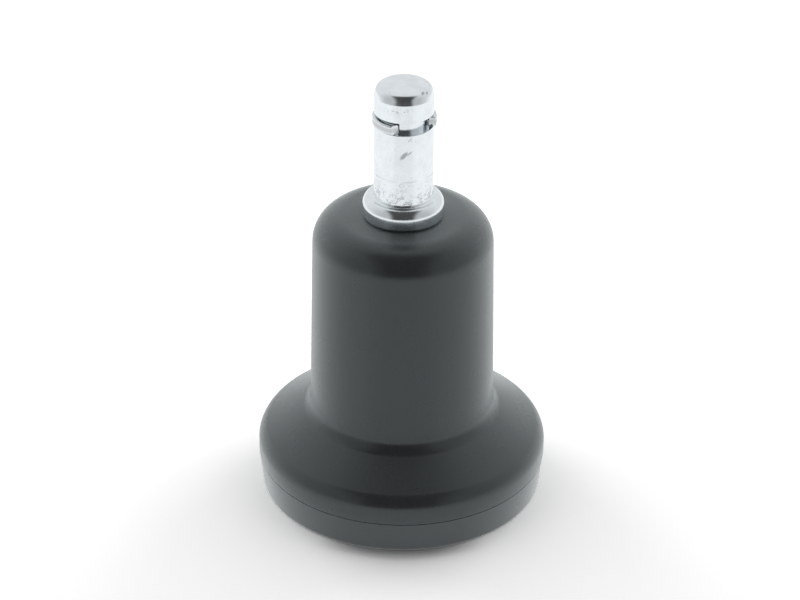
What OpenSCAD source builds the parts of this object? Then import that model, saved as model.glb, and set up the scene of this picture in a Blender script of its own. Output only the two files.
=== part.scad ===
// Bell glide for an office chair: a fixed foot that plugs into the castor
// socket of a chair base. A moulded bell with a snap-in base cap carries a
// turned steel stem, and a split ring in the stem's groove grips the socket.
// Origin: centre of the underside, where the glide stands on the floor.
// Z runs up the stem. The front of the glide, where the ring is open, looks
// along -Y.

/* [Stem] */
// Diameter of the plain stem
stem_d = 11; // [10:0.1:12.7]
// Height of the stem above its collar
stem_h = 22.5; // [18:0.1:40]
// Distance from the stem's top down to the crease where its edge starts
stem_edge_h = 1.8; // [1.6:0.1:2.6]
// Slant of the edge above the crease, in degrees off the stem's side
stem_edge_slant = 15; // [5:1:30]
// Radius between the slanting edge and the stem's flat top
stem_edge_r = 1.4; // [0.4:0.1:1.6]
// Distance from the stem's top down to the ring groove
groove_drop = 5.35; // [4:0.05:8]
// Height of the ring groove
groove_h = 2.45; // [2.1:0.05:4]
// Depth of the ring groove
groove_depth = 1.3; // [1.2:0.05:1.8]
// Radius of the fillet where the stem meets its collar
stem_foot_r = 0.6; // [0.1:0.05:0.7]

/* [Collar] */
// Diameter of the collar
collar_d = 15.2; // [14.8:0.1:20]
// Height of the collar above the bell
collar_h = 4.1; // [3.2:0.1:8]
// Width of the collar's top from the stem out to the rounded shoulder
collar_ledge = 0.95; // [0.75:0.05:1]
// Radius of the collar's rounded shoulder
collar_shoulder_r = 2; // [1:0.1:2.4]
// Radius of the collar's lower edge
collar_foot_r = 0.6; // [0.2:0.05:0.7]

/* [Shank] */
// Diameter of the shank inside the bell
shank_d = 8; // [6:0.1:9]
// Length of the shank inside the bell
shank_len = 22; // [16:0.5:26]
// Height of the ridges on the shank's straight knurl
knurl_depth = 0.3; // [0.1:0.05:0.6]
// Number of ridges on the knurl
knurl_count = 24; // [12:1:36]
// Length of the knurled stretch
knurl_len = 9; // [4:0.5:10]
// Distance from the collar down to the knurl
knurl_drop = 5; // [2:0.5:5]

/* [Grip ring] */
// Height of the split ring
ring_h = 1.9; // [1:0.1:2]
// Thickness of the split ring
ring_t = 1.2; // [0.8:0.05:1.25]
// How far the relaxed ring stands out past the stem
ring_proud = 0.4; // [0.1:0.05:0.6]
// Rounding of the ring's corners
ring_corner_r = 0.35; // [0.1:0.05:0.4]
// How far the loose ring lies off the stem's axis, towards +X
ring_shift = 0.1; // [0:0.02:0.16]
// Angle from the front to the outer corner of the ring's left end
ring_left = -25; // [-60:1:-10]
// Angle from the front to the outer corner of the ring's right end
ring_right = 75; // [40:1:90]
// Slant of the cut at the ring's left end
slant_left = 36; // [0:1:50]
// Slant of the cut at the ring's right end
slant_right = 8; // [0:1:50]

/* [Bell body] */
// Height of the bell's top face above the floor
body_h = 57.2; // [48:0.2:80]
// Diameter of the neck below its rounded top edge
neck_top_d = 33.7; // [30:0.1:38]
// Diameter of the neck where it meets the flare
neck_foot_d = 34.9; // [33:0.1:39]
// Radius of the rounded edge round the bell's top
neck_round_r = 4.8; // [2:0.1:7]
// Diameter of the rim
rim_d = 54.8; // [51:0.1:66]
// Height of the upright band above the seam
rim_band_h = 2.65; // [1:0.05:6]
// Radius of the edge above the rim's upright band
rim_edge_r = 3.4; // [1.5:0.1:4]
// Slope of the flare, in degrees above the floor
flare_slope = 29.6; // [20:0.2:40]
// Radius of the hollow fillet between neck and flare
flare_fillet_r = 3; // [1:0.1:6]

/* [Bell inside] */
// Wall of the moulding
wall = 2.8; // [2:0.1:3.2]
// Wall of the rim at the seam
rim_wall = 2.6; // [2:0.1:3.2]
// Thickness of the bell's top
top_wall = 3.6; // [2.5:0.1:6]
// Wall of the boss round the shank
boss_wall = 3.4; // [2:0.1:4]
// Depth of the boss past the end of the shank
boss_floor = 2.4; // [1:0.1:4]
// Number of radial ribs
rib_count = 6; // [4:1:8]
// Thickness of each rib
rib_t = 1.8; // [1:0.1:2.5]
// Height of the ribs' lower edge above the base cap's spigot
rib_clear = 1.2; // [0.5:0.1:6]

/* [Base cap] */
// Height of the seam above the floor
seam_h = 6.35; // [5.5:0.05:12]
// Diameter of the cap's underside edge
foot_d = 53.3; // [50:0.1:54]
// Step inwards from the rim to the cap at the seam
seam_step = 0.1; // [0:0.02:0.3]
// Chamfer on both edges of the seam
seam_chamfer = 0.15; // [0.05:0.05:0.3]
// Radius of the cap's lower edge
foot_edge_r = 0.6; // [0.2:0.1:1.5]
// Thickness of the cap's floor
cap_floor = 2.4; // [1.5:0.1:3]
// Thickness of the spigot that snaps into the rim
spigot_t = 1.6; // [1:0.1:2.5]
// Height of the spigot above the seam
spigot_h = 2.5; // [2.2:0.1:2.8]
// How far the snap bead stands out of the spigot
bead = 0.35; // [0.15:0.05:0.5]
// Height of the ribs on the cap's floor
cap_rib_h = 2.4; // [1:0.1:2.5]
// Diameter of the ring rib at the cap's middle
hub_d = 14; // [10:0.5:20]

/* [Fits] */
// Clearance between the shank and its boss
shank_fit = 0.02; // [0.01:0.01:0.05]
// Clearance between the spigot and the rim
spigot_fit = 0.1; // [0.05:0.01:0.2]

/* [Hidden] */
$fn = 96;
PLASTIC = [0.26, 0.28, 0.29];
CAP_PLASTIC = [0.33, 0.35, 0.36];
STEEL = [0.82, 0.84, 0.85];
ARC_STEPS = 10;
SMALL_ARC_STEPS = 4;
// Radii
stem_r = stem_d / 2;
groove_r = stem_r - groove_depth;
collar_r = collar_d / 2;
shank_r = shank_d / 2;
knurl_r = shank_r + knurl_depth;
neck_top_r = neck_top_d / 2;
neck_foot_r = neck_foot_d / 2;
rim_r = rim_d / 2;
cap_r = rim_r - seam_step;
foot_r = foot_d / 2;
// Heights on the stem and the shank
collar_top = body_h + collar_h;
stem_top = collar_top + stem_h;
groove_top = stem_top - groove_drop;
groove_foot = groove_top - groove_h;
knurl_top = body_h - knurl_drop;
knurl_foot = knurl_top - knurl_len;
shank_foot = body_h - shank_len;
shank_chamfer = 0.8;
// The stem's top edge slants in above a crease and ends in an arc
stem_crease_z = stem_top - stem_edge_h;
stem_arc_z = stem_top - stem_edge_r;
stem_slant_r = stem_r - (stem_arc_z - stem_crease_z) * tan(stem_edge_slant);
stem_arc_r = stem_slant_r - stem_edge_r / cos(stem_edge_slant);
// The collar's shoulder is an arc that meets the top face at an edge
shoulder_r = collar_r - collar_shoulder_r;
ledge_r = max(stem_r + collar_ledge, shoulder_r);
shoulder_turn = acos((ledge_r - shoulder_r) / collar_shoulder_r);
shoulder_z = collar_top - collar_shoulder_r * sin(shoulder_turn);
// Tangent points on the bell
band_top = seam_h + rim_band_h;
neck_round_z = body_h - neck_round_r;
edge_turn = 90 - flare_slope;
cone_r = rim_r - rim_edge_r * (1 - cos(edge_turn));
cone_z = band_top + rim_edge_r * sin(edge_turn);
fillet_r = neck_foot_r + flare_fillet_r;
fillet_start_r = fillet_r - flare_fillet_r * sin(flare_slope);
fillet_z = flare_z(fillet_start_r) + flare_fillet_r * cos(flare_slope);
// The bell's inside
rim_bore_r = rim_r - rim_wall;
boss_r = knurl_r + boss_wall;
boss_foot = shank_foot - boss_floor;
rib_open_r = boss_r - boss_wall / 2;
// The spigot and its snap bead
spigot_r = rim_bore_r - spigot_fit;
spigot_bore_r = spigot_r - spigot_t;
spigot_top = seam_h + spigot_h;
bead_z = seam_h + spigot_h * 0.55;
rib_foot = spigot_top + rib_clear;
// The ring
ring_r = stem_r + ring_proud;
ring_bore_r = ring_r - ring_t;

// Points along an arc from angle a0 to angle a1
function arc(r, z, radius, a0, a1, steps = ARC_STEPS) =
    [for (i = [0:steps]) let (a = a0 + (a1 - a0) * i / steps)
        [r + radius * cos(a), z + radius * sin(a)]];

// Height of the flare's cone at a given radius
function flare_z(r) = cone_z + (cone_r - r) * tan(flare_slope);

// Half outline of the bell, from the seam up to the top face
function bell_outline() = concat(
    [[0, seam_h], [rim_r - seam_chamfer, seam_h], [rim_r, seam_h + seam_chamfer]],
    arc(rim_r - rim_edge_r, band_top, rim_edge_r, 0, edge_turn),
    arc(fillet_r, fillet_z, flare_fillet_r, 270 - flare_slope, 180),
    arc(neck_top_r - neck_round_r, neck_round_z, neck_round_r, 0, 90),
    [[0, body_h]]);

// Half outline of the hollow left by a wall of thickness t, and rim_t at the rim
function hollow_outline(t, rim_t) =
    let (
        drop = t / cos(flare_slope),
        bore = rim_r - rim_t,
        throat = neck_foot_r - t,
        top = body_h - top_wall + wall - t,
        round = max(neck_round_r - t, 0.5))
    concat(
        [[0, seam_h - 1], [bore, seam_h - 1], [bore, flare_z(bore) - drop]],
        [[throat, flare_z(throat) - drop]],
        arc(neck_top_r - t - round, top - round, round, 0, 90, SMALL_ARC_STEPS),
        [[0, top]]);

// Half outline of the snap bead, or of its groove when grown by a clearance
function bead_outline(r, grow) =
    [[r - 1, bead_z - bead - grow], [r, bead_z - bead - grow], [r + bead, bead_z],
        [r, bead_z + bead + grow], [r - 1, bead_z + bead + grow]];

// Half outline of the shank below the collar, grown by a clearance
function shank_outline(grow) =
    [[0, shank_foot - grow], [shank_r - shank_chamfer + grow, shank_foot - grow],
        [shank_r + grow, shank_foot + shank_chamfer - grow],
        [shank_r + grow, body_h + 1], [0, body_h + 1]];

// Half outline of the collar and the stem above it
function stem_outline() = concat(
    [[0, body_h]],
    arc(collar_r - collar_foot_r, body_h + collar_foot_r, collar_foot_r, 270, 360, SMALL_ARC_STEPS),
    arc(shoulder_r, shoulder_z, collar_shoulder_r, 0, shoulder_turn),
    arc(stem_r + stem_foot_r, collar_top + stem_foot_r, stem_foot_r, 270, 180, SMALL_ARC_STEPS),
    [[stem_r, groove_foot], [groove_r, groove_foot], [groove_r, groove_top], [stem_r, groove_top]],
    [[stem_r, stem_crease_z]],
    arc(stem_arc_r, stem_arc_z, stem_edge_r, stem_edge_slant, 90),
    [[0, stem_top]]);

// Half outline of the base cap's drafted wall, shoulder and spigot
function cap_outline() = concat(
    [[0, 0]],
    arc(foot_r - foot_edge_r, foot_edge_r, foot_edge_r, 270, 360, SMALL_ARC_STEPS),
    [[cap_r, seam_h - seam_chamfer], [cap_r - seam_chamfer, seam_h]],
    [[spigot_r, seam_h], [spigot_r, spigot_top], [spigot_bore_r, spigot_top]],
    [[spigot_bore_r, cap_floor], [0, cap_floor]]);

// Section of the split ring, with rounded corners, lying on the groove's lower face
function ring_section() =
    let (
        c = ring_corner_r,
        low = groove_foot,
        high = groove_foot + ring_h)
    concat(
        arc(ring_bore_r + c, low + c, c, 180, 270, SMALL_ARC_STEPS),
        arc(ring_r - c, low + c, c, 270, 360, SMALL_ARC_STEPS),
        arc(ring_r - c, high - c, c, 0, 90, SMALL_ARC_STEPS),
        arc(ring_bore_r + c, high - c, c, 90, 180, SMALL_ARC_STEPS));

// A point at radius r and at an angle from the front towards +X
function around(r, a) = [r * sin(a), -r * cos(a)];

// Straight ridges of the knurl, grown by a clearance
module knurl(grow) {
    steps = 2 * knurl_count;
    outline = [for (i = [0:steps - 1])
        let (r = (i % 2 == 0 ? knurl_r : shank_r) + grow)
        [r * cos(360 * i / steps), r * sin(360 * i / steps)]];
    translate([0, 0, knurl_foot - grow])
        linear_extrude(knurl_len + 2 * grow)
            polygon(outline);
}

// The space that the shank fills in the boss
module shank_space(grow) {
    rotate_extrude()
        polygon(shank_outline(grow));
    knurl(grow);
}

// Boss round the shank, hanging from the bell's top
module boss() {
    translate([0, 0, boss_foot])
        cylinder(r = boss_r, h = body_h - top_wall / 2 - boss_foot);
}

// Radial ribs that tie the boss to the neck and the flare
module ribs() {
    intersection() {
        rotate_extrude()
            polygon(hollow_outline(wall / 2, rim_wall / 2));
        for (i = [0:rib_count - 1])
            rotate([0, 0, 360 * (i + 0.5) / rib_count])
                translate([0, -rib_t / 2, rib_foot])
                    cube([rim_r, rib_t, body_h - rib_foot]);
    }
}

// Free space below the boss, where the ribs stop short of the axis
module rib_opening() {
    translate([0, 0, seam_h])
        cylinder(r = rib_open_r, h = boss_foot - seam_h);
}

module bell_body() {
    color(PLASTIC)
        difference() {
            union() {
                difference() {
                    rotate_extrude()
                        polygon(bell_outline());
                    rotate_extrude()
                        polygon(hollow_outline(wall, rim_wall));
                    rotate_extrude()
                        polygon(bead_outline(rim_bore_r, spigot_fit));
                }
                boss();
                ribs();
            }
            rib_opening();
            shank_space(shank_fit);
        }
}

// Ribs on the cap's floor, with a ring rib round the middle
module cap_ribs() {
    difference() {
        union() {
            translate([0, 0, cap_floor / 2])
                cylinder(r = hub_d / 2, h = cap_floor / 2 + cap_rib_h);
            for (i = [0:rib_count - 1])
                rotate([0, 0, 360 * i / rib_count])
                    translate([0, -rib_t / 2, cap_floor / 2])
                        cube([spigot_bore_r + spigot_t / 2, rib_t, cap_floor / 2 + cap_rib_h]);
        }
        translate([0, 0, cap_floor])
            cylinder(r = hub_d / 2 - rib_t, h = cap_rib_h + 1);
    }
}

module base_cap() {
    color(CAP_PLASTIC)
        union() {
            rotate_extrude()
                polygon(cap_outline());
            rotate_extrude()
                polygon(bead_outline(spigot_r, 0));
            cap_ribs();
        }
}

module stem() {
    color(STEEL)
        union() {
            rotate_extrude()
                polygon(stem_outline());
            shank_space(0);
        }
}

// Wedge that opens the ring; its sides follow the two slanted end cuts
module ring_gap() {
    reach = 2 * ring_t;
    left = around(ring_r, ring_left);
    right = around(ring_r, ring_right);
    left_in = left - around(reach, ring_left - slant_left);
    right_in = right - around(reach, ring_right + slant_right);
    far_left = around(3 * ring_r, ring_left);
    far_right = around(3 * ring_r, ring_right);
    far_mid = around(3 * ring_r, (ring_left + ring_right) / 2);
    translate([0, 0, groove_foot - 1])
        linear_extrude(ring_h + 2)
            polygon([left_in, left, far_left, far_mid, far_right, right, right_in]);
}

module grip_ring() {
    color(STEEL)
        translate([ring_shift, 0, 0])
            difference() {
                rotate_extrude()
                    polygon(ring_section());
                ring_gap();
            }
}

bell_body();
base_cap();
stem();
grip_ring();
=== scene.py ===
# Looks of an office chair bell glide: a moulded nylon bell with a snapped-in
# base cap, a zinc plated stem and a split grip ring, on a plain white floor.
# Lengths are in metres, in the frame of the solid parts; -Y is the front.
from math import asin, cos, pi, radians, sin, tan

import bmesh
import bpy
from mathutils import Matrix, Vector


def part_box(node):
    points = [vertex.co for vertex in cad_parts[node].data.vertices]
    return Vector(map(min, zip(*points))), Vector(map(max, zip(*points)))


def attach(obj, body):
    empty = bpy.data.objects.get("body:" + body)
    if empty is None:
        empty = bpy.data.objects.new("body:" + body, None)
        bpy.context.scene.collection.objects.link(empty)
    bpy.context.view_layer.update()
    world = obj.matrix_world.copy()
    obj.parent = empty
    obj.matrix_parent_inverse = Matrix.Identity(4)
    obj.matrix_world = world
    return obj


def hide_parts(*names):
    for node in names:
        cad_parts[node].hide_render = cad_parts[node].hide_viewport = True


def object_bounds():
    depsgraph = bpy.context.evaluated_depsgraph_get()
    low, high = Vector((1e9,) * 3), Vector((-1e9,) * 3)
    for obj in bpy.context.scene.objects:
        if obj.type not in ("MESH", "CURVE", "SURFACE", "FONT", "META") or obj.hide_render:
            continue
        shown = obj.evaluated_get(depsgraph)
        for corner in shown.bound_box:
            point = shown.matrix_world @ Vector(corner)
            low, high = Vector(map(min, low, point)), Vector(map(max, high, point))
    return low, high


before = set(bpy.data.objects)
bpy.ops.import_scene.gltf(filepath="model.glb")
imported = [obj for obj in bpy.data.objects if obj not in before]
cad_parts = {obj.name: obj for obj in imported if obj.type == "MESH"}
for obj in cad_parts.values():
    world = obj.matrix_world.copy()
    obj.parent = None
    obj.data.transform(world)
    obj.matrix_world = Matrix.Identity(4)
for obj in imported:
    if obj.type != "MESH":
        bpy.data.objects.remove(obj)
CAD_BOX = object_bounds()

bl_info = {
    "name": "Bell Glide",
    "version": (1, 0, 0),
    "blender": (4, 5, 0),
    "location": "3D View > Sidebar > Glide",
    "description": "Builds the finished look of a chair glide over its solid parts",
    "category": "Object",
}

BELL_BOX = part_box("bell_body")
CAP_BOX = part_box("base_cap")
STEM_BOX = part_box("stem")
RING_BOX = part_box("grip_ring")


# ---------------------------------------------------------------- settings

def length(name, description, default, low=0.0, high=0.2):
    """A size in metres."""
    return bpy.props.FloatProperty(
        name=name, description=description, default=default, min=low, max=high,
        precision=5, unit="LENGTH", subtype="DISTANCE")


def angle(name, description, degrees, low=-360.0, high=360.0):
    """An angle, given in degrees."""
    return bpy.props.FloatProperty(
        name=name, description=description, default=radians(degrees),
        min=radians(low), max=radians(high), unit="ROTATION", subtype="ANGLE")


def colour(name, description, default):
    """A colour, linear."""
    return bpy.props.FloatVectorProperty(
        name=name, description=description, default=default, size=3,
        min=0.0, max=1.0, subtype="COLOR")


def factor(name, description, default):
    """A plain number such as a roughness."""
    return bpy.props.FloatProperty(
        name=name, description=description, default=default, min=0.0, max=1.0, subtype="FACTOR")


def strength(name, description, default):
    """A brightness."""
    return bpy.props.FloatProperty(
        name=name, description=description, default=default, min=0.0, max=200.0)


class GlideBellSizes(bpy.types.PropertyGroup):
    rim_radius: length("Rim Radius", "Radius of the rim's upright band", BELL_BOX[1][0])
    seam_height: length("Seam Height", "Height of the seam above the base cap", BELL_BOX[0][2])
    body_height: length("Body Height", "Height of the bell's top face", BELL_BOX[1][2])
    band_height: length("Band Height", "Height of the rim's upright band", 0.00265)
    neck_foot_radius: length("Neck Foot Radius", "Radius of the neck at the flare", 0.01745)
    neck_top_radius: length("Neck Top Radius", "Radius of the neck under its rounded top", 0.01685)
    neck_rounding: length("Neck Rounding", "Radius of the rounded top edge", 0.0056)
    flare_slope: angle("Flare Slope", "Slope of the flare above the floor", 29.6, 10.0, 60.0)
    rim_rounding: length("Rim Rounding", "Radius of the edge between rim and flare", 0.0034)
    flare_fillet: length("Flare Fillet", "Radius of the hollow fillet at the neck's foot", 0.003)
    wall: length("Wall", "Thickness of the neck and the flare", 0.0028)
    rim_wall: length("Rim Wall", "Thickness of the rim", 0.0026)
    crown_wall: length("Crown Wall", "Thickness of the top", 0.0036)
    inner_rounding: length("Inner Rounding", "Radius inside the top", 0.002)
    seam_chamfer: length("Seam Chamfer", "Chamfer on both edges of the seam", 0.00015)
    seam_depth: length("Seam Depth", "Depth of the fine slot at the seam", 0.00045)


class GlideCapSizes(bpy.types.PropertyGroup):
    foot_radius: length("Foot Radius", "Radius at the foot of the drafted wall", 0.02665)
    top_radius: length("Top Radius", "Radius of the cap at the seam", CAP_BOX[1][0])
    foot_rounding: length("Foot Rounding", "Radius of the lower edge", 0.0006)
    spigot_radius: length("Spigot Radius", "Radius of the spigot inside the rim", 0.0247)
    spigot_wall: length("Spigot Wall", "Thickness of the spigot", 0.0016)
    spigot_rounding: length("Spigot Rounding", "Radius of the spigot's edges", 0.0003)
    floor_thickness: length("Floor Thickness", "Thickness of the cap's floor", 0.0024)


class GlideStemSizes(bpy.types.PropertyGroup):
    stem_radius: length("Stem Radius", "Radius of the plain stem", 0.0055)
    edge_height: length("Edge Height", "Height of the top edge above its crease", 0.0018)
    edge_slant: angle("Edge Slant", "Slant of the top edge off the stem's side", 15.0, 0.0, 45.0)
    edge_rounding: length("Edge Rounding", "Radius between the edge and the flat top", 0.0014)
    groove_drop: length("Groove Drop", "Distance from the top down to the groove", 0.00535)
    groove_radius: length("Groove Radius", "Radius of the groove's floor", 0.0042)
    collar_radius: length("Collar Radius", "Radius of the collar", STEM_BOX[1][0])
    collar_height: length("Collar Height", "Height of the collar", 0.0041)
    collar_edge: length("Collar Edge", "Radius of the collar's lower edge", 0.0006)
    shoulder_rounding: length("Shoulder Rounding", "Radius of the collar's shoulder", 0.002)
    ledge_width: length("Ledge Width", "Width of the collar's top round the stem", 0.00095)
    foot_fillet: length("Foot Fillet", "Radius of the fillet at the stem's foot", 0.0006)
    shank_radius: length("Shank Radius", "Radius of the hidden shank", 0.004)
    shank_chamfer: length("Shank Chamfer", "Chamfer at the shank's lower end", 0.0008)
    lip_rounding: length("Lip Rounding", "Broken edge of the groove's lips", 0.00008)


class GlideRingSizes(bpy.types.PropertyGroup):
    outer_radius: length("Outer Radius", "Outer radius of the relaxed ring", 0.0059)
    thickness: length("Thickness", "Radial thickness of the ring", 0.0012)
    height: length("Height", "Height of the ring", RING_BOX[1][2] - RING_BOX[0][2])
    rounding: length("Rounding", "Radius of the ring's corners", 0.00035)
    shift: length("Shift", "Distance the loose ring lies off the axis", 0.0001)
    left_end: angle("Left End", "Angle from the front to the left end's outer corner", -25.0)
    right_end: angle("Right End", "Angle from the front to the right end's outer corner", 75.0)
    left_slant: angle("Left Slant", "Slant of the cut at the left end", 36.0)
    right_slant: angle("Right Slant", "Slant of the cut at the right end", 8.0)
    burr: length("Burr", "Broken edge round the cut faces", 0.00006)


class GlideFinishes(bpy.types.PropertyGroup):
    turning_steps: bpy.props.IntProperty(
        name="Turning Steps", description="Facets round a turned piece",
        default=192, min=24, max=360)
    bell_colour: colour("Bell Colour", "Dark nylon of the bell", (0.0310, 0.0332, 0.0342))
    bell_roughness: factor("Bell Roughness", "Satin of the bell", 0.28)
    cap_colour: colour("Cap Colour", "Dark nylon of the base cap", (0.0600, 0.0665, 0.0690))
    cap_roughness: factor("Cap Roughness", "Satin of the base cap", 0.24)
    gloss_tint: colour("Gloss Tint", "Tint of the plastic's gloss", (0.87, 0.97, 1.0))
    bloom: factor("Bloom", "Pale bloom on the plastic at a low angle", 0.5)
    zinc_colour: colour("Zinc Colour", "Bright zinc plating", (0.838, 0.890, 0.922))
    zinc_roughness: factor("Zinc Roughness", "Polish of the plating", 0.17)
    ring_colour: colour("Ring Colour", "Plated spring steel", (0.755, 0.790, 0.820))
    ring_roughness: factor("Ring Roughness", "Polish of the ring", 0.20)


class GlideStage(bpy.types.PropertyGroup):
    camera_distance: length("Camera Distance", "Level distance from the axis", 0.4861, 0.1, 3.0)
    camera_height: length("Camera Height", "Height of the camera", 0.3235, 0.0, 3.0)
    camera_pitch: angle("Camera Pitch", "Downward tilt of the camera", 30.367)
    camera_yaw: angle("Camera Yaw", "Sideways turn of the camera", -0.057)
    camera_roll: angle("Camera Roll", "Roll of the camera", -0.401)
    lens: bpy.props.FloatProperty(
        name="Lens", description="Focal length in millimetres",
        default=135.0, min=20.0, max=300.0)
    floor_size: length("Floor Size", "Side of the square floor", 1.6, 0.5, 20.0)
    floor_white: factor("Floor White", "How white the floor is", 0.80)
    floor_lift: factor("Floor Lift", "How much whiter the floor looks to the camera", 0.80)
    contact_shade: factor("Contact Shade", "What is left of the floor's white at the foot", 0.40)
    room_bright: strength("Room Light", "Light from the white wall behind the glide", 0.80)
    room_front: strength("Front Light", "Light from the front of the room", 0.52)
    room_dark: strength("Room Shade", "Light from the dark strip behind the camera", 0.064)
    box_power: strength("Softbox Power", "Power of each softbox in watts", 4.0)
    box_side: length("Softbox Side", "Sideways distance of each softbox", 0.62, 0.0, 3.0)
    box_back: length("Softbox Back", "Distance of the softboxes behind the glide", 0.60, 0.0, 3.0)
    box_height: length("Softbox Height", "Height of the softboxes", 0.18, 0.0, 3.0)
    box_width: length("Softbox Width", "Width of each softbox", 0.6, 0.0, 3.0)
    box_depth: length("Softbox Depth", "Lesser side of each softbox", 0.3, 0.0, 3.0)
    aim_height: length("Aim Height", "Height of the point the softboxes face", 0.03)


# ---------------------------------------------------------------- modelling

FINE_ROUNDING = 0.0005   # up to here, a rounding needs only a few segments
FINE_SEGMENTS = 3
WELD = 1e-7              # points nearer than this are one


def round_corner(shape, corner, before, after, radius, segments):
    """Round one corner of an outline to a radius."""
    turn = (corner.co - before).angle(after - corner.co)
    bmesh.ops.bevel(
        shape, geom=[corner], offset=radius * tan(turn / 2), offset_type="OFFSET",
        segments=segments, profile=0.5, affect="VERTICES", material=-1)


def turning_outline(shape, corners, segments=10):
    """Draw an outline from (radius, height, rounding) corners, open at both ends."""
    places = [Vector((radius, 0.0, height)) for radius, height, _ in corners]
    points = [shape.verts.new(place) for place in places]
    for low, high in zip(points, points[1:]):
        shape.edges.new((low, high))
    for index in range(1, len(points) - 1):
        rounding = corners[index][2]
        if rounding > 0.0:
            steps = segments if rounding > FINE_ROUNDING else FINE_SEGMENTS
            round_corner(
                shape, points[index], places[index - 1], places[index + 1], rounding, steps)


def spin_outline(shape, sweep, steps, full):
    """Spin the outline round the glide's axis."""
    bmesh.ops.spin(
        shape, geom=shape.verts[:] + shape.edges[:], cent=(0.0, 0.0, 0.0), axis=(0.0, 0.0, 1.0),
        dvec=(0.0, 0.0, 0.0), angle=sweep, steps=steps, use_merge=full,
        use_normal_flip=False, use_duplicate=False)


def turn_outline(shape, steps):
    """Turn the outline into a full round and close the poles."""
    spin_outline(shape, 2 * pi, steps, full=True)
    bmesh.ops.remove_doubles(shape, verts=shape.verts[:], dist=WELD)
    bmesh.ops.recalc_face_normals(shape, faces=shape.faces[:])


def from_front(radius, heading):
    """The point at a radius from the axis, at an angle from the front."""
    return Vector((radius * sin(heading), -radius * cos(heading), 0.0))


def finish_piece(shape, name, node, material, crease=32.0):
    """Turn the mesh into a piece that stands for a solid node, sharp past a crease in degrees."""
    for face in shape.faces:
        face.smooth = True
    for edge in shape.edges:
        edge.smooth = len(edge.link_faces) == 2 and edge.calc_face_angle() < radians(crease)
    mesh = bpy.data.meshes.new(name)
    shape.to_mesh(mesh)
    shape.free()
    piece = bpy.data.objects.new(name, mesh)
    bpy.context.scene.collection.objects.link(piece)
    mesh.materials.append(material)
    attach(piece, "root")
    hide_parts(node)


# ---------------------------------------------------------------- finishes

class NodeBench:
    """Lays out the nodes of one tree."""

    def __init__(self, tree):
        self.tree = tree

    def add(self, kind, **settings):
        """A new node with its settings."""
        node = self.tree.nodes.new(kind)
        for key, value in settings.items():
            setattr(node, key, value)
        return node

    def feed(self, socket, value):
        """Put a number, a colour or another node's output on a socket."""
        if isinstance(value, bpy.types.NodeSocket):
            self.tree.links.new(value, socket)
        elif socket.type == "RGBA":
            socket.default_value = (*value, 1.0)
        else:
            socket.default_value = value

    def remap(self, value, low, high, to_low=0.0, to_high=1.0, smooth=False):
        """Bring a value from one range to another, held at both ends."""
        node = self.add(
            "ShaderNodeMapRange", interpolation_type="SMOOTHSTEP" if smooth else "LINEAR")
        ends = ("Value", "From Min", "From Max", "To Min", "To Max")
        for socket, entry in zip(ends, (value, low, high, to_low, to_high)):
            self.feed(node.inputs[socket], entry)
        return node.outputs["Result"]

    def combine(self, operation, *values):
        """Work out one number from others."""
        node = self.add("ShaderNodeMath", operation=operation)
        for socket, value in zip(node.inputs, values):
            self.feed(socket, value)
        return node.outputs["Value"]

    def level(self, fac, first, second):
        """Mix two numbers by a factor."""
        node = self.add("ShaderNodeMix", data_type="FLOAT")
        for socket, value in zip((node.inputs[0], *node.inputs[2:4]), (fac, first, second)):
            self.feed(socket, value)
        return node.outputs[0]

    def apart(self, vector):
        """The three numbers of a vector."""
        node = self.add("ShaderNodeSeparateXYZ")
        self.feed(node.inputs["Vector"], vector)
        return node.outputs


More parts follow.
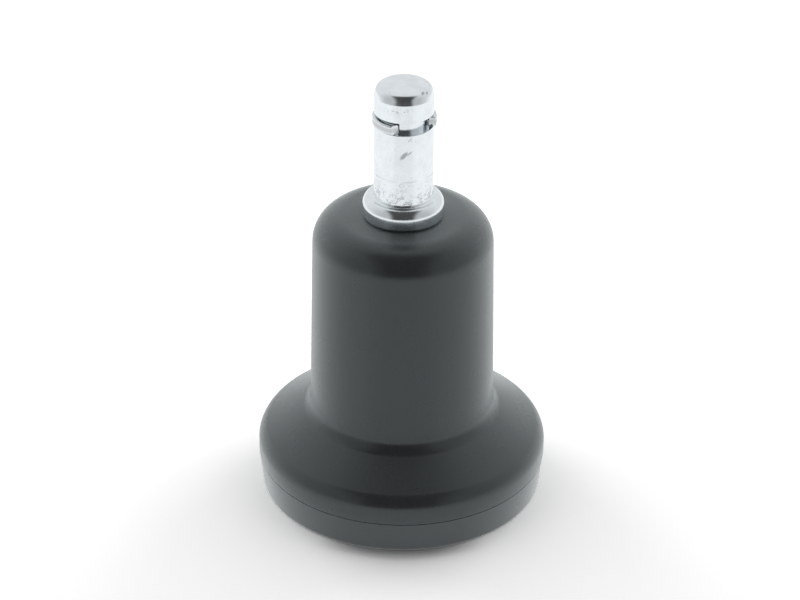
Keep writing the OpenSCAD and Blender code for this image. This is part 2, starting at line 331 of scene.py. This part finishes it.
class Finish(NodeBench):
    """Nodes of one material on a piece of the glide."""

    def __init__(self, name):
        self.material = bpy.data.materials.new(name)
        self.material.use_nodes = True
        super().__init__(self.material.node_tree)
        self.surface = self.tree.nodes["Principled BSDF"]
        self.place = self.add("ShaderNodeTexCoord").outputs["Object"]

    def plain(self, **values):
        """Set what is the same all over, with the shader's names in small letters."""
        for name, value in values.items():
            socket = "IOR" if name == "ior" else name.replace("_", " ").title()
            self.feed(self.surface.inputs[socket], value)

    def noise(self, scale, detail, rough, stretch=None):
        """Cloudy noise; stretch scales the coordinates first."""
        place = self.place
        if stretch:
            mapping = self.add("ShaderNodeMapping")
            self.feed(mapping.inputs["Scale"], stretch)
            self.feed(mapping.inputs["Vector"], place)
            place = mapping.outputs["Vector"]
        node = self.add("ShaderNodeTexNoise")
        for socket, value in zip(("Scale", "Detail", "Roughness", "Vector"),
                                 (scale, detail, rough, place)):
            self.feed(node.inputs[socket], value)
        return node.outputs["Fac"]

    def blend(self, fac, first, second):
        """Mix two colours by a factor."""
        node = self.add("ShaderNodeMix", data_type="RGBA")
        for socket, value in zip((node.inputs[0], *node.inputs[6:8]), (fac, first, second)):
            self.feed(socket, value)
        return node.outputs[2]

    def stain(self, body, mask, amount, colour):
        """Colour what a mask picks out, up to an amount."""
        return self.blend(self.combine("MULTIPLY", mask, amount), body, colour)

    def band(self, value, middle, outer, inner):
        """A mask that is 1 within the inner distance of a middle value and 0 past the outer."""
        distance = self.combine("ABSOLUTE", self.combine("SUBTRACT", value, middle))
        return self.remap(distance, outer, inner)

    def height(self):
        """The height above the floor."""
        return self.apart(self.place)["Z"]

    def spot(self, centre, reach, lean=0.0):
        """A soft mask that is 1 at a place and 0 past an ellipsoid's reach."""
        mapping = self.add("ShaderNodeMapping", vector_type="TEXTURE")
        for socket, value in (("Location", centre), ("Scale", reach), ("Vector", self.place),
                              ("Rotation", (0.0, radians(-lean), 0.0))):
            self.feed(mapping.inputs[socket], value)
        node = self.add("ShaderNodeVectorMath", operation="LENGTH")
        self.feed(node.inputs[0], mapping.outputs["Vector"])
        return self.remap(node.outputs["Value"], 1.0, 0.0)

    def bump(self, value, depth, below=None):
        """Relief of a depth, on top of the relief below."""
        node = self.add("ShaderNodeBump")
        self.feed(node.inputs["Distance"], depth)
        self.feed(node.inputs["Strength"], 1.0)
        self.feed(node.inputs["Height"], value)
        if below is not None:
            self.feed(node.inputs["Normal"], below)
        return node.outputs["Normal"]

    def wear(self, colour, roughness, normal):
        """Connect what varies over the surface."""
        self.feed(self.surface.inputs["Base Color"], colour)
        self.feed(self.surface.inputs["Roughness"], roughness)
        self.feed(self.surface.inputs["Normal"], normal)
        return self.material


def tinted(colour, amount):
    """A colour made lighter or darker."""
    return tuple(min(1.0, channel * amount) for channel in colour)


# Noise on the plastic: scale, detail, roughness and stretch along X, Y and Z
NYLON_CLOUDS = (70.0, 4.0, 0.6)
NYLON_STREAKS = (260.0, 3.0, 0.6, (1.0, 1.0, 0.12))
NYLON_RUBS = (900.0, 2.0, 0.5, (1.0, 1.0, 0.3))
NYLON_WAVES = (180.0, 1.0, 0.5)
# noise that breaks up the painted reflection line round the cap's foot
FOOT_REFLECTION_BREAKS = (230.0, 3.0, 0.6)
# Noise on the zinc
STEM_MOTTLE = (1150.0, 3.0, 0.6)
STEM_SPECKS = (1900.0, 2.0, 0.55)
SCUFF_BREAKS = (300.0, 2.0, 0.5)
TURNING_LINES = (5200.0, 2.0, 0.5, (0.02, 0.02, 1.0))
STEM_RIPPLE = (520.0, 2.0, 0.5)
RING_RIPPLE = (700.0, 2.0, 0.5)
# Scale of the clouds in the zinc
STEM_CLOUDS = 420.0
RING_CLOUDS = 900.0
# Depths of relief
WAVE_DEPTH = 0.000006
TURNING_DEPTH = 0.000002
MOTTLE_DEPTH = 0.00002
RIPPLE_DEPTH = 0.00001
# Mould grain of the bell and of the cap: scale and depth
BELL_GRAIN = (2600.0, 0.000004)
CAP_GRAIN = (3400.0, 0.000002)
# How dense the nylon's gloss is, and how far its bloom spreads
NYLON_IOR = 1.62
BLOOM_SPREAD = 0.5
# Pale line round the cap's foot, a painted reflection of the floor in its rounded edge: height,
# outer and inner distance, colour
FOOT_REFLECTION_LINE = (0.00045, 0.00032, 0.00008)
FOOT_REFLECTION_COLOUR = (0.19, 0.165, 0.13)
# Scuff round the stem: height, outer and inner distance
SCUFF = (0.06655, 0.00022, 0.00004)
# Darker mottling just above the collar, fading upward: where it fades out, and how soon it starts
MOTTLE_FADE = (0.0067, 0.0012)
MOTTLE_START = 0.0003
# Band of painted shade round the middle of the ring: outer and inner distance from its middle
RING_SHADE_BAND = (0.0006, 0.0002)
# Fields of dark specks on the stem: centre and reach
SPECK_FIELDS = (
    ((-0.0010, -0.0054, 0.0808), (0.0024, 0.0015, 0.0011)),
    ((0.0014, -0.0053, 0.0752), (0.0012, 0.0015, 0.0011)),
    ((-0.0047, -0.0028, 0.0640), (0.0013, 0.0020, 0.0013)),
    ((0.0046, -0.0030, 0.0650), (0.0012, 0.0020, 0.0013)),
)
# Scratches on the stem and nicks in its top edge: centre, reach, lean in degrees
STEM_MARKS = (
    ((0.00005, -0.0055, 0.07200), (0.00125, 0.0012, 0.00050), 50.0),
    ((0.00105, -0.0054, 0.07245), (0.00080, 0.0012, 0.00017), 38.0),
    ((0.0034, -0.0033, 0.0836), (0.00060, 0.0006, 0.00030), 30.0),
    ((0.0041, -0.0028, 0.0834), (0.00030, 0.0005, 0.00025), 0.0),
)
# Dark ring painted as the shade of a small dent on the stem, whose relief is not modelled: centre,
# reach
DENT_SHADE_SPOT = ((-0.0003, -0.0055, 0.0659), (0.00060, 0.0015, 0.00050))


def moulded_nylon(name, colour, roughness, looks, grain, painted_foot_reflection=False):
    """Dark moulded nylon: fine mould grain, slight cloudiness and faint rub marks."""
    finish = Finish(name)
    finish.plain(
        ior=NYLON_IOR, specular_tint=looks.gloss_tint, sheen_weight=looks.bloom,
        sheen_roughness=BLOOM_SPREAD, sheen_tint=looks.gloss_tint)
    clouds = finish.noise(*NYLON_CLOUDS)
    streaks = finish.noise(*NYLON_STREAKS)
    body = finish.blend(
        finish.remap(clouds, 0.25, 0.75), tinted(colour, 0.90), tinted(colour, 1.10))
    rubs = finish.remap(finish.noise(*NYLON_RUBS), 0.66, 0.78)
    body = finish.stain(body, rubs, 0.12, tinted(colour, 1.7))
    polish = finish.combine(
        "ADD", finish.remap(clouds, 0.3, 0.7, roughness - 0.03, roughness + 0.03),
        finish.remap(streaks, 0.3, 0.7, -0.02, 0.02))
    scale, depth = grain
    normal = finish.bump(finish.noise(scale, 2.0, 0.6), depth)
    normal = finish.bump(finish.noise(*NYLON_WAVES), WAVE_DEPTH, below=normal)
    # painted reflection: a pale beige line round the cap's foot stands in for the floor mirrored
    # in its rounded edge
    if painted_foot_reflection:
        line = finish.band(finish.height(), *FOOT_REFLECTION_LINE)
        patches = finish.remap(finish.noise(*FOOT_REFLECTION_BREAKS), 0.38, 0.55, 0.35, 1.0)
        reflection_and_wear_mask = finish.combine("MULTIPLY", line, patches)
        body = finish.stain(body, reflection_and_wear_mask, 0.55, FOOT_REFLECTION_COLOUR)
    return finish.wear(body, polish, normal)


def plated(finish, colour, roughness, cloud_scale):
    """Shared look of bright zinc: clouded colour, uneven polish and fine pits."""
    finish.plain(metallic=1.0)
    clouds = finish.noise(cloud_scale, 4.0, 0.62)
    body = finish.blend(
        finish.remap(clouds, 0.36, 0.64), tinted(colour, 0.95), tinted(colour, 1.04))
    pits = finish.remap(finish.noise(cloud_scale * 6.0, 1.0, 0.5), 0.70, 0.76)
    body = finish.stain(body, pits, 0.35, tinted(colour, 0.50))
    polish = finish.remap(clouds, 0.3, 0.7, roughness - 0.03, roughness + 0.05)
    return body, polish


def stem_plating(colour, roughness, crown):
    """Zinc on the turned stem, worn where it was plugged in and pulled out."""
    finish = Finish("stem_zinc")
    body, polish = plated(finish, colour, roughness, STEM_CLOUDS)
    height = finish.height()
    # darker mottling just above the collar's crown, fading upward
    fade_end, fade_start = MOTTLE_FADE
    reach = finish.combine(
        "MULTIPLY", finish.remap(height, crown + fade_end, crown + fade_start, smooth=True),
        finish.remap(height, crown, crown + MOTTLE_START))
    mottle = finish.combine(
        "MULTIPLY", finish.remap(finish.noise(*STEM_MOTTLE), 0.50, 0.62), reach)
    body = finish.stain(body, mottle, 0.40, tinted(colour, 0.62))
    # scuff round the stem, broken up by noise
    breaks = finish.remap(finish.noise(*SCUFF_BREAKS), 0.42, 0.58)
    scuff = finish.combine("MULTIPLY", finish.band(height, *SCUFF), breaks)
    body = finish.stain(body, scuff, 0.45, tinted(colour, 0.55))
    # specks under the top edge, below the groove and above the collar
    dots = finish.remap(finish.noise(*STEM_SPECKS), 0.56, 0.66)
    for centre, reach in SPECK_FIELDS:
        field = finish.remap(finish.spot(centre, reach), 0.0, 0.5)
        specks = finish.combine("MULTIPLY", dots, field)
        body = finish.stain(body, specks, 0.55, tinted(colour, 0.45))
    # scratches and nicks
    marks = 0.0
    for place in STEM_MARKS:
        mark = finish.remap(finish.spot(*place), 0.05, 0.45)
        marks = finish.combine("MAXIMUM", marks, mark)
    body = finish.stain(body, marks, 0.62, tinted(colour, 0.28))
    # painted shade: a small dark ring above the collar where a dent would shade the plating
    dent_shade = finish.band(finish.spot(*DENT_SHADE_SPOT), 0.25, 0.20, 0.05)
    body = finish.stain(body, dent_shade, 0.40, tinted(colour, 0.40))
    reflection_and_wear_mask = finish.combine("MULTIPLY", finish.combine("MAXIMUM", marks, mottle), 0.15)
    polish = finish.combine("ADD", polish, reflection_and_wear_mask)
    normal = finish.bump(finish.noise(*TURNING_LINES), TURNING_DEPTH)
    normal = finish.bump(mottle, MOTTLE_DEPTH, below=normal)
    normal = finish.bump(finish.noise(*STEM_RIPPLE), RIPPLE_DEPTH, below=normal)
    return finish.wear(body, polish, normal)


def ring_plating(colour, roughness):
    """Zinc on the spring ring, with painted shade in a grey band round its middle."""
    finish = Finish("ring_zinc")
    body, polish = plated(finish, colour, roughness, RING_CLOUDS)
    # painted shade: a grey band round the ring's middle height
    middle = (RING_BOX[0][2] + RING_BOX[1][2]) / 2
    painted_mid_shade = finish.band(finish.height(), middle, *RING_SHADE_BAND)
    body = finish.stain(body, painted_mid_shade, 0.5, tinted(colour, 0.50))
    normal = finish.bump(finish.noise(*RING_RIPPLE), RIPPLE_DEPTH)
    return finish.wear(body, polish, normal)


# ---------------------------------------------------------------- floor and room

# The foot's painted shade on the floor: how near the foot it starts, between which
# levels of openness it deepens, and over which part of the front it lies
CONTACT_REACH = 0.005
CONTACT_OPENNESS = (0.50, 0.95)
CONTACT_FRONT = (-1.0, -0.80)
CONTACT_SAMPLES = 8
# Part of the front in which the floor is a little darker in the metal
DULLED_FRONT = (-0.92, -0.72)
DULLED_WHITE = 0.92
# From the front wall of the room to its back wall
ROOM_DEPTH = (-0.6, 0.5)
# Edges of the dark strip, sideways and from front to back
STRIP_SIDES = (0.40, 0.62)
STRIP_BACK = (-0.18, 0.08)


def white_floor(stage):
    """Pale floor that keeps the glide's shadow and looks plain white in reflections."""
    material = bpy.data.materials.new("white_floor")
    material.use_nodes = True
    bench = NodeBench(material.node_tree)
    bench.tree.nodes.clear()
    light = bench.add("ShaderNodeLightPath").outputs
    outwards = bench.add("ShaderNodeVectorMath", operation="NORMALIZE")
    bench.feed(outwards.inputs[0], bench.add("ShaderNodeTexCoord").outputs["Object"])
    facing = bench.apart(outwards.outputs[0])["Y"]
    # painted contact shade: an ambient occlusion node darkens the floor's colour close to the
    # foot, deepest before it, as if the light came from behind
    near = bench.add("ShaderNodeAmbientOcclusion", samples=CONTACT_SAMPLES)
    bench.feed(near.inputs["Distance"], CONTACT_REACH)
    shade = bench.remap(facing, *CONTACT_FRONT, stage.contact_shade, 1.0, smooth=True)
    contact = bench.remap(near.outputs["AO"], *CONTACT_OPENNESS, shade, 1.0, smooth=True)
    whiteness = bench.combine(
        "MULTIPLY_ADD", light["Is Camera Ray"], stage.floor_lift, stage.floor_white)
    paint = bench.add("ShaderNodeBsdfDiffuse")
    bench.feed(paint.inputs["Color"], bench.combine("MULTIPLY", whiteness, contact))
    mirrored = bench.add("ShaderNodeEmission")
    bench.feed(mirrored.inputs["Color"], (1.0, 1.0, 1.0))
    bench.feed(mirrored.inputs["Strength"],
               bench.remap(facing, *DULLED_FRONT, DULLED_WHITE, 1.0, smooth=True))
    pick = bench.add("ShaderNodeMixShader")
    in_gloss = bench.combine("MAXIMUM", light["Is Glossy Ray"], light["Is Transmission Ray"])
    for socket, value in zip(pick.inputs, (in_gloss, paint.outputs[0], mirrored.outputs[0])):
        bench.feed(socket, value)
    bench.feed(bench.add("ShaderNodeOutputMaterial").inputs["Surface"], pick.outputs[0])
    return material


def white_room(stage):
    """White room, brightest behind the glide, with a dark strip in the front."""
    world = bpy.data.worlds.new("white_room")
    bpy.context.scene.world = world
    world.use_nodes = True
    bench = NodeBench(world.node_tree)
    bench.tree.nodes.clear()
    heading = bench.apart(bench.add("ShaderNodeTexCoord").outputs["Generated"])
    sideways = bench.combine("ABSOLUTE", heading["X"])
    walls = bench.remap(
        heading["Y"], *ROOM_DEPTH, stage.room_front, stage.room_bright, smooth=True)
    strip = bench.combine(
        "MULTIPLY", bench.remap(sideways, *STRIP_SIDES, 1.0, 0.0, smooth=True),
        bench.remap(heading["Y"], *STRIP_BACK, 1.0, 0.0, smooth=True))
    seen = bench.add("ShaderNodeLightPath").outputs["Is Camera Ray"]
    room = bench.add("ShaderNodeBackground")
    bench.feed(room.inputs["Color"], (1.0, 1.0, 1.0))
    bench.feed(room.inputs["Strength"],
               bench.level(seen, bench.level(strip, walls, stage.room_dark), 1.0))
    bench.feed(bench.add("ShaderNodeOutputWorld").inputs["Surface"], room.outputs[0])


def softbox(name, place, aim, width, height, power):
    """One softbox lamp facing a point, kept out of the gloss."""
    lamp = bpy.data.lights.new(name, "AREA")
    lamp.shape = "RECTANGLE"
    lamp.size = width
    lamp.size_y = height
    lamp.energy = power
    holder = bpy.data.objects.new(name, lamp)
    bpy.context.scene.collection.objects.link(holder)
    holder.visible_glossy = False
    facing = (Vector(place) - Vector(aim)).to_track_quat("Z", "Y")
    holder.matrix_world = Matrix.Translation(place) @ facing.to_matrix().to_4x4()


# ---------------------------------------------------------------- operators

class GLIDE_OT_bell(bpy.types.Operator):
    """Turn the moulded bell with its neck, flare and rim"""
    bl_idname = "glide.bell"
    bl_label = "Bell"

    def execute(self, context):
        sizes = context.scene.glide_bell
        looks = context.scene.glide_finishes
        rim, seam, top = sizes.rim_radius, sizes.seam_height, sizes.body_height
        slope = sizes.flare_slope
        band_top = seam + sizes.band_height
        turn = pi / 2 - slope
        edge_r = rim - sizes.rim_rounding * (1 - cos(turn))
        edge_z = band_top + sizes.rim_rounding * sin(turn)

        def flare(radius):
            """Height of the flare's slope at a radius."""
            return edge_z + (edge_r - radius) * tan(slope)

        foot, crown = sizes.neck_foot_radius, sizes.neck_top_radius
        draft = (foot - crown) / (top - sizes.neck_rounding - flare(foot))
        shoulder = crown - draft * sizes.neck_rounding
        bore = rim - sizes.rim_wall
        wall = sizes.wall
        drop = wall / cos(slope)
        shape = bmesh.new()
        turning_outline(shape, [
            (0.0, top, 0.0),
            (shoulder, top, sizes.neck_rounding),
            (foot, flare(foot), sizes.flare_fillet),
            (rim, flare(rim), sizes.rim_rounding),
            (rim, seam, sizes.seam_chamfer),
            (bore, seam, 0.0),
            (bore, flare(bore) - drop, 0.0),
            (foot - wall, flare(foot - wall) - drop, 0.0),
            (crown - wall, top - sizes.crown_wall, sizes.inner_rounding),
            (0.0, top - sizes.crown_wall, 0.0)], segments=14)
        turn_outline(shape, looks.turning_steps)
        nylon = moulded_nylon(
            "bell_nylon", looks.bell_colour, looks.bell_roughness, looks, BELL_GRAIN)
        finish_piece(shape, "bell_moulding", "bell_body", nylon)
        return {"FINISHED"}


class GLIDE_OT_base_cap(bpy.types.Operator):
    """Turn the base cap that snaps into the rim"""
    bl_idname = "glide.base_cap"
    bl_label = "Base Cap"

    def execute(self, context):
        sizes = context.scene.glide_cap
        bell = context.scene.glide_bell
        looks = context.scene.glide_finishes
        seam, chamfer = bell.seam_height, bell.seam_chamfer
        slot = sizes.top_radius - bell.seam_depth
        spigot, rounding = sizes.spigot_radius, sizes.spigot_rounding
        bore = spigot - sizes.spigot_wall
        shape = bmesh.new()
        turning_outline(shape, [
            (0.0, CAP_BOX[0][2], 0.0),
            (sizes.foot_radius, CAP_BOX[0][2], sizes.foot_rounding),
            (sizes.top_radius, seam - chamfer, 0.0),
            (slot, seam - chamfer, 0.0),
            (slot, seam, 0.0),
            (spigot, seam, 0.0),
            (spigot, CAP_BOX[1][2], rounding),
            (bore, CAP_BOX[1][2], rounding),
            (bore, sizes.floor_thickness, rounding),
            (0.0, sizes.floor_thickness, 0.0)], segments=8)
        turn_outline(shape, looks.turning_steps)
        nylon = moulded_nylon(
            "cap_nylon", looks.cap_colour, looks.cap_roughness, looks, CAP_GRAIN, painted_foot_reflection=True)
        finish_piece(shape, "base_cap_moulding", "base_cap", nylon)
        return {"FINISHED"}


class GLIDE_OT_stem(bpy.types.Operator):
    """Turn the plated stem with its groove, collar and shank"""
    bl_idname = "glide.stem"
    bl_label = "Stem"

    def execute(self, context):
        sizes = context.scene.glide_stem
        looks = context.scene.glide_finishes
        seat = context.scene.glide_bell.body_height
        foot, top = STEM_BOX[0][2], STEM_BOX[1][2]
        stem, collar, shank = sizes.stem_radius, sizes.collar_radius, sizes.shank_radius
        ledge = stem + sizes.ledge_width
        crown = seat + sizes.collar_height
        rounding = sizes.shoulder_rounding
        turn = pi / 2 - asin((ledge - collar + rounding) / rounding)
        shoulder = crown - rounding * sin(turn) + rounding * tan(turn / 2)
        lean = sizes.edge_height * tan(sizes.edge_slant)
        groove_top, groove_foot = top - sizes.groove_drop, RING_BOX[0][2]
        lip = sizes.lip_rounding
        shape = bmesh.new()
        turning_outline(shape, [
            (0.0, foot, 0.0),
            (shank - sizes.shank_chamfer, foot, 0.0),
            (shank, foot + sizes.shank_chamfer, 0.0),
            (shank, seat, 0.0),
            (collar, seat, sizes.collar_edge),
            (collar, shoulder, rounding),
            (ledge, crown, 0.0),
            (stem, crown, sizes.foot_fillet),
            (stem, groove_foot, lip),
            (sizes.groove_radius, groove_foot, 0.0),
            (sizes.groove_radius, groove_top, 0.0),
            (stem, groove_top, lip),
            (stem, top - sizes.edge_height, 0.0),
            (stem - lean, top, sizes.edge_rounding),
            (0.0, top, 0.0)], segments=12)
        turn_outline(shape, looks.turning_steps)
        zinc = stem_plating(looks.zinc_colour, looks.zinc_roughness, crown)
        finish_piece(shape, "turned_stem", "stem", zinc, crease=11.0)
        return {"FINISHED"}


class GLIDE_OT_grip_ring(bpy.types.Operator):
    """Bend the split ring and cut its two ends"""
    bl_idname = "glide.grip_ring"
    bl_label = "Grip Ring"

    ring_steps = 96
    overshoot = radians(16.0)   # the ring is bent this much too far before its ends are cut
    cut_reach = 0.004           # how far from an end its cut may reach
    on_cut = 1e-6               # how near a point on the cut lies to its plane

    def cut_end(self, shape, sizes, end, slant, gap_middle):
        """Cut one end through its outer corner and close it."""
        corner = from_front(sizes.outer_radius, end)
        inward = Vector((-sin(slant), cos(slant), 0.0))
        facing = inward.cross(Vector((0.0, 0.0, 1.0)))
        if facing.dot(gap_middle - corner) < 0.0:
            facing.negate()

        def near(vert):
            return (vert.co.xy - corner.xy).length < self.cut_reach

        verts = [vert for vert in shape.verts if near(vert)]
        nearby = set(verts)
        edges = [edge for edge in shape.edges if nearby.issuperset(edge.verts)]
        faces = [face for face in shape.faces if nearby.issuperset(face.verts)]
        bmesh.ops.bisect_plane(
            shape, geom=verts + edges + faces, dist=WELD, plane_co=corner, plane_no=facing,
            clear_outer=True)
        rim = [edge for edge in shape.edges if edge.is_boundary and all(
            near(vert) and abs((vert.co - corner).dot(facing)) < self.on_cut
            for vert in edge.verts)]
        bmesh.ops.edgeloop_fill(shape, edges=rim)
        bmesh.ops.bevel(
            shape, geom=rim, offset=sizes.burr, offset_type="OFFSET", segments=2, profile=0.5,
            affect="EDGES", material=-1)

    def execute(self, context):
        sizes = context.scene.glide_ring
        looks = context.scene.glide_finishes
        outer, inner = sizes.outer_radius, sizes.outer_radius - sizes.thickness
        low, high = RING_BOX[0][2], RING_BOX[0][2] + sizes.height
        left, right = sizes.left_end, sizes.right_end
        start = right - self.overshoot
        sweep = 2 * pi - (right - left) + 2 * self.overshoot
        shape = bmesh.new()
        corners = [shape.verts.new(place) for place in (
            (inner, 0.0, low), (outer, 0.0, low), (outer, 0.0, high), (inner, 0.0, high))]
        for first, second in zip(corners, corners[1:] + corners[:1]):
            shape.edges.new((first, second))
        bmesh.ops.bevel(
            shape, geom=corners, offset=sizes.rounding, offset_type="OFFSET", segments=5,
            profile=0.5, affect="VERTICES", material=-1)
        bmesh.ops.rotate(
            shape, cent=(0.0, 0.0, 0.0), matrix=Matrix.Rotation(start - pi / 2, 3, "Z"),
            verts=shape.verts[:])
        spin_outline(shape, sweep, self.ring_steps, full=False)
        gap_middle = from_front(outer, (left + right) / 2)
        self.cut_end(shape, sizes, left, left - sizes.left_slant, gap_middle)
        self.cut_end(shape, sizes, right, right + sizes.right_slant, gap_middle)
        bmesh.ops.translate(shape, vec=(sizes.shift, 0.0, 0.0), verts=shape.verts[:])
        bmesh.ops.recalc_face_normals(shape, faces=shape.faces[:])
        wire = ring_plating(looks.ring_colour, looks.ring_roughness)
        finish_piece(shape, "split_ring", "grip_ring", wire)
        return {"FINISHED"}


class GLIDE_OT_stage(bpy.types.Operator):
    """Lay the floor and set the room, the softboxes and the camera"""
    bl_idname = "glide.stage"
    bl_label = "Stage"

    def execute(self, context):
        stage = context.scene.glide_stage
        scene = context.scene
        scene.view_settings.view_transform = "Standard"
        sheet = bmesh.new()
        bmesh.ops.create_grid(sheet, x_segments=1, y_segments=1, size=stage.floor_size / 2)
        bmesh.ops.translate(sheet, vec=(0.0, 0.0, CAD_BOX[0][2]), verts=sheet.verts[:])
        mesh = bpy.data.meshes.new("studio_floor")
        sheet.to_mesh(mesh)
        sheet.free()
        floor = bpy.data.objects.new("studio_floor", mesh)
        scene.collection.objects.link(floor)
        mesh.materials.append(white_floor(stage))
        white_room(stage)
        aim = (0.0, 0.0, stage.aim_height)
        for side, name in ((-stage.box_side, "softbox_left"), (stage.box_side, "softbox_right")):
            softbox(name, (side, stage.box_back, stage.box_height), aim,
                    stage.box_width, stage.box_depth, stage.box_power)
        view = bpy.data.cameras.new("front_camera")
        view.lens = stage.lens
        view.sensor_width = 36.0
        view.clip_start = 0.01
        holder = bpy.data.objects.new("front_camera", view)
        scene.collection.objects.link(holder)
        turn = (Matrix.Rotation(-stage.camera_yaw, 4, "Z")
                @ Matrix.Rotation(pi / 2 - stage.camera_pitch, 4, "X")
                @ Matrix.Rotation(-stage.camera_roll, 4, "Z"))
        spot = Matrix.Translation((0.0, -stage.camera_distance, stage.camera_height))
        holder.matrix_world = spot @ turn
        scene.camera = holder
        return {"FINISHED"}


class GLIDE_PT_panel(bpy.types.Panel):
    """Sidebar panel that lists the pieces of the glide"""
    bl_idname = "GLIDE_PT_panel"
    bl_label = "Bell Glide"
    bl_space_type = "VIEW_3D"
    bl_region_type = "UI"
    bl_category = "Glide"

    def draw(self, context):
        column = self.layout.column(align=True)
        for operator in OPERATORS:
            column.operator(operator.bl_idname)
        for group in GROUPS:
            settings = getattr(context.scene, group)
            box = self.layout.box()
            for key in settings.bl_rna.properties.keys():
                if key not in {"rna_type", "name"}:
                    box.prop(settings, key)


GROUPS = {
    "glide_bell": GlideBellSizes,
    "glide_cap": GlideCapSizes,
    "glide_stem": GlideStemSizes,
    "glide_ring": GlideRingSizes,
    "glide_finishes": GlideFinishes,
    "glide_stage": GlideStage,
}
OPERATORS = (GLIDE_OT_bell, GLIDE_OT_base_cap, GLIDE_OT_stem, GLIDE_OT_grip_ring, GLIDE_OT_stage)


def register():
    for name, group in GROUPS.items():
        bpy.utils.register_class(group)
        setattr(bpy.types.Scene, name, bpy.props.PointerProperty(type=group))
    for entry in (*OPERATORS, GLIDE_PT_panel):
        bpy.utils.register_class(entry)


def unregister():
    for entry in reversed((*OPERATORS, GLIDE_PT_panel)):
        bpy.utils.unregister_class(entry)
    for name, group in reversed(GROUPS.items()):
        delattr(bpy.types.Scene, name)
        bpy.utils.unregister_class(group)


def main():
    register()
    bpy.ops.glide.bell()
    bpy.ops.glide.base_cap()
    bpy.ops.glide.stem()
    bpy.ops.glide.grip_ring()
    bpy.ops.glide.stage()


if __name__ == "__main__":
    main()
